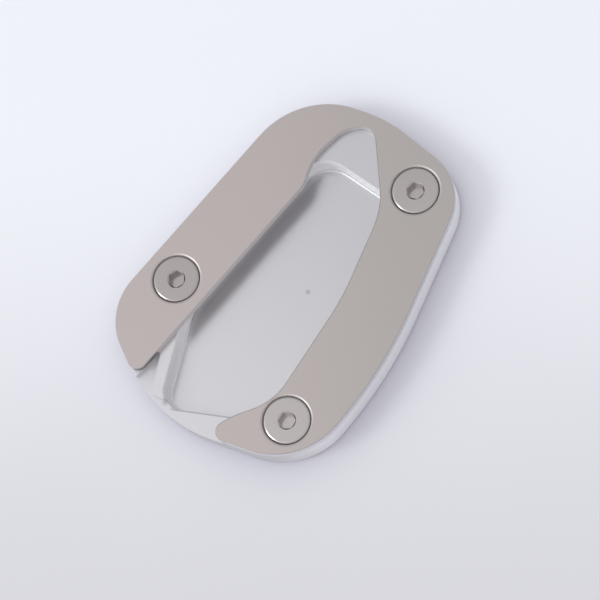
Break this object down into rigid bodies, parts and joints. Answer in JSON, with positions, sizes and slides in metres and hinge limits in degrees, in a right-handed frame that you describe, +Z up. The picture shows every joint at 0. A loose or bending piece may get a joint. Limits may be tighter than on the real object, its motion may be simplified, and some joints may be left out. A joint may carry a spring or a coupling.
{
  "type": "kickstand foot enlarger",
  "caption": "Flat aluminium pad with a milled pocket for a side-stand foot, a C-shaped steel clamp plate over it and countersunk socket screws.",
  "frame": {"origin": "centre of the footprint, on the ground face of the base plate", "axes": "+Z up from the ground through the clamp plate, +Y along the straight left side towards the toe end, +X towards the right side"},
  "size_m": [0.0674, 0.0936, 0.0095],
  "materials": {
    "base_plate": "milled and satin silver anodised",
    "clamp_plate": "fine satin stainless sheet",
    "clamp_screws": "satin stainless, turned head"
  },
  "bodies": {
    "root": {"base_plate": "base_plate", "clamp_plate": "clamp_plate", "clamp_screws": "clamp_screws"}
  },
  "joints": []
}
